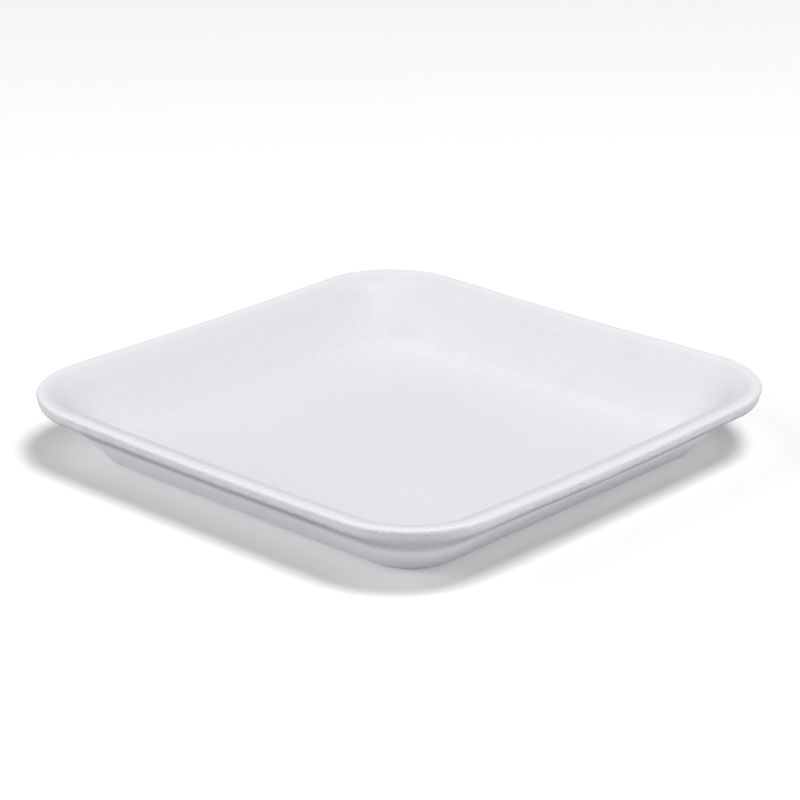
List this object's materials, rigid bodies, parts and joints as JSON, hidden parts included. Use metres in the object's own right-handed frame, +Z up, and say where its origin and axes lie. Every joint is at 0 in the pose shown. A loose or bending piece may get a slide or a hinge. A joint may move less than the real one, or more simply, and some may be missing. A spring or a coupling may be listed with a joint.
{
  "type": "foam food tray",
  "caption": "Shallow square tray in one piece of thin white foam, with sloping walls, rounded corners and a flared lip, for holding food.",
  "frame": {"origin": "middle of the underside, on the surface the tray stands on", "axes": "+Z up, out of the tray's mouth; the sides run along X and Y, and the four sides are alike"},
  "size_m": [0.1334, 0.1334, 0.0162],
  "materials": {
    "foam": "satin"
  },
  "bodies": {
    "root": {"foam_tray": "foam"}
  },
  "joints": []
}
